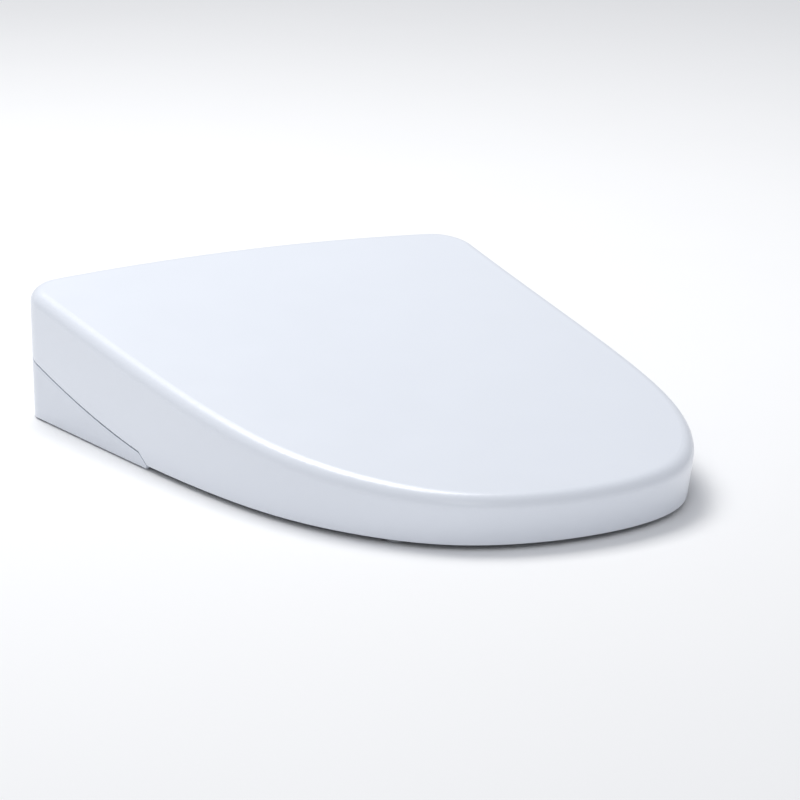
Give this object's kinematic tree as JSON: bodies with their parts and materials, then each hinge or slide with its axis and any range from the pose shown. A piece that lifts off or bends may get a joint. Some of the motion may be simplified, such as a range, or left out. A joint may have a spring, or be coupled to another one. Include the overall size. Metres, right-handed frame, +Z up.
{
  "type": "electric bidet seat",
  "caption": "Electric bidet seat for an elongated toilet bowl, with a sloping one-piece lid, a heated seat, a slide-out washing wand and a warm-air dryer.",
  "frame": {"origin": "on the toilet's rim plane, midway between the two fixing bolts", "axes": "+Z up, -Y towards the front of the bowl, +X to a seated user's left"},
  "size_m": [0.3876, 0.5401, 0.1087],
  "materials": {
    "lid_plastic": "glossy",
    "seat_plastic": "glossy",
    "seat_underside": "satin",
    "case_plastic": "satin",
    "cover_plastic": "satin",
    "pan_plastic": "matte",
    "plate_plastic": "matte",
    "button_plastic": "satin",
    "soft_rubber": "matte",
    "steel": "brushed",
    "motor_can": "satin",
    "tip_plastic": "glossy",
    "acetal": "satin",
    "fan_plastic": "matte",
    "valve_brass": "satin",
    "works_plastic": "matte",
    "hose_silicone": "satin",
    "heater_foil": "satin",
    "sensor_body": "matte",
    "circuit_board": "satin",
    "dark_window": "glossy",
    "lamp_lens": "glossy"
  },
  "bodies": {
    "main_unit": {"base_pan": "pan_plastic", "top_case": "case_plastic", "side_cover_left": "cover_plastic", "side_cover_right": "cover_plastic", "hinge_pins": "steel", "lid_damper": "acetal", "seat_damper": "acetal", "nozzle_housing": "acetal", "nozzle_motor": "motor_can", "wand_collar": "soft_rubber", "inlet_valve": "valve_brass", "water_heater": "works_plastic", "flow_valve": "works_plastic", "electrolysis_cell": "works_plastic", "air_pump": "works_plastic", "water_hoses": "hose_silicone", "dryer_fan_case": "fan_plastic", "dryer_motor": "motor_can", "dryer_duct": "fan_plastic", "deodorizer_fan_case": "fan_plastic", "deodorizer_motor": "motor_can", "control_board": "circuit_board", "power_board": "circuit_board", "receiver_window": "dark_window", "occupancy_sensor_window": "dark_window", "indicator_lens": "lamp_lens", "cord_gland": "soft_rubber", "case_screws": "steel", "base_feet": "soft_rubber"},
    "mount_plate": {"mounting_plate": "plate_plastic", "plate_bushes": "soft_rubber"},
    "seat": {"seat_top_shell": "seat_plastic", "seat_bottom_shell": "seat_underside", "seat_heater_foil": "heater_foil", "seat_bumpers": "soft_rubber", "seat_thermostat": "sensor_body"},
    "lid": {"lid_shell": "lid_plastic", "lid_bumpers": "soft_rubber"},
    "wand": {"wand_tube": "steel", "wand_tip": "tip_plastic", "wand_rack": "acetal"},
    "pinion": {"wand_pinion": "acetal"},
    "dryer_flap": {"dryer_shutter": "button_plastic"},
    "dryer_fan": {"dryer_impeller": "fan_plastic"},
    "deodorizer_fan": {"deodorizer_impeller": "fan_plastic"},
    "filter_drawer": {"deodorizer_filter": "button_plastic"},
    "release": {"release_button": "button_plastic"},
    "power": {"power_button": "button_plastic"},
    "filter_plug": {"inlet_filter_plug": "button_plastic"}
  },
  "joints": [
    {"name": "seat_hinge", "type": "hinge", "parent": "main_unit", "child": "seat", "pos_m": [0, 0.045, 0.086], "axis": [1, 0, 0], "range_deg": [-98, 0]},
    {"name": "lid_hinge", "type": "hinge", "parent": "seat", "child": "lid", "pos_m": [0, 0.045, 0.086], "axis": [-1, 0, 0], "range_deg": [0, 100]},
    {"name": "wand_slide", "type": "slide", "parent": "main_unit", "child": "wand", "axis": [0, -0.9781, -0.2079], "range_m": [0, 0.084]},
    {"name": "pinion_spin", "type": "hinge", "parent": "main_unit", "child": "pinion", "pos_m": [0, -0.04749, 0.03788], "axis": [-1, 0, 0], "range_deg": [-5, 810]},
    {"name": "dryer_flap_hinge", "type": "hinge", "parent": "main_unit", "child": "dryer_flap", "pos_m": [0.041, -0.076, 0.0285], "axis": [-1, 0, 0], "range_deg": [0, 70], "stiffness_Nm_per_rad": 0.002},
    {"name": "dryer_fan_spin", "type": "hinge", "parent": "main_unit", "child": "dryer_fan", "pos_m": [0.047, 0.002, 0.04], "axis": [1, 0, 0], "continuous": true},
    {"name": "deodorizer_fan_spin", "type": "hinge", "parent": "main_unit", "child": "deodorizer_fan", "pos_m": [0.12, -0.034, 0.033], "axis": [0, 0, 1], "continuous": true},
    {"name": "filter_drawer_slide", "type": "slide", "parent": "main_unit", "child": "filter_drawer", "axis": [1, 0, 0], "range_m": [0, 0.085]},
    {"name": "release_press", "type": "slide", "parent": "main_unit", "child": "release", "axis": [-1, 0, 0], "range_m": [0, 0.002], "stiffness_N_per_m": 600},
    {"name": "power_press", "type": "slide", "parent": "main_unit", "child": "power", "axis": [-1, 0, 0], "range_m": [0, 0.0015], "stiffness_N_per_m": 500},
    {"name": "filter_plug_pull", "type": "slide", "parent": "main_unit", "child": "filter_plug", "axis": [0, 1, 0], "range_m": [0, 0.035]},
    {"name": "plate_release", "type": "slide", "parent": "main_unit", "child": "mount_plate", "axis": [0, 1, 0], "range_m": [0, 0.06]}
  ],
  "couplings": [
    {"joint": "pinion_spin", "follows": "wand_slide", "rad_per_m": 166.67}
  ]
}
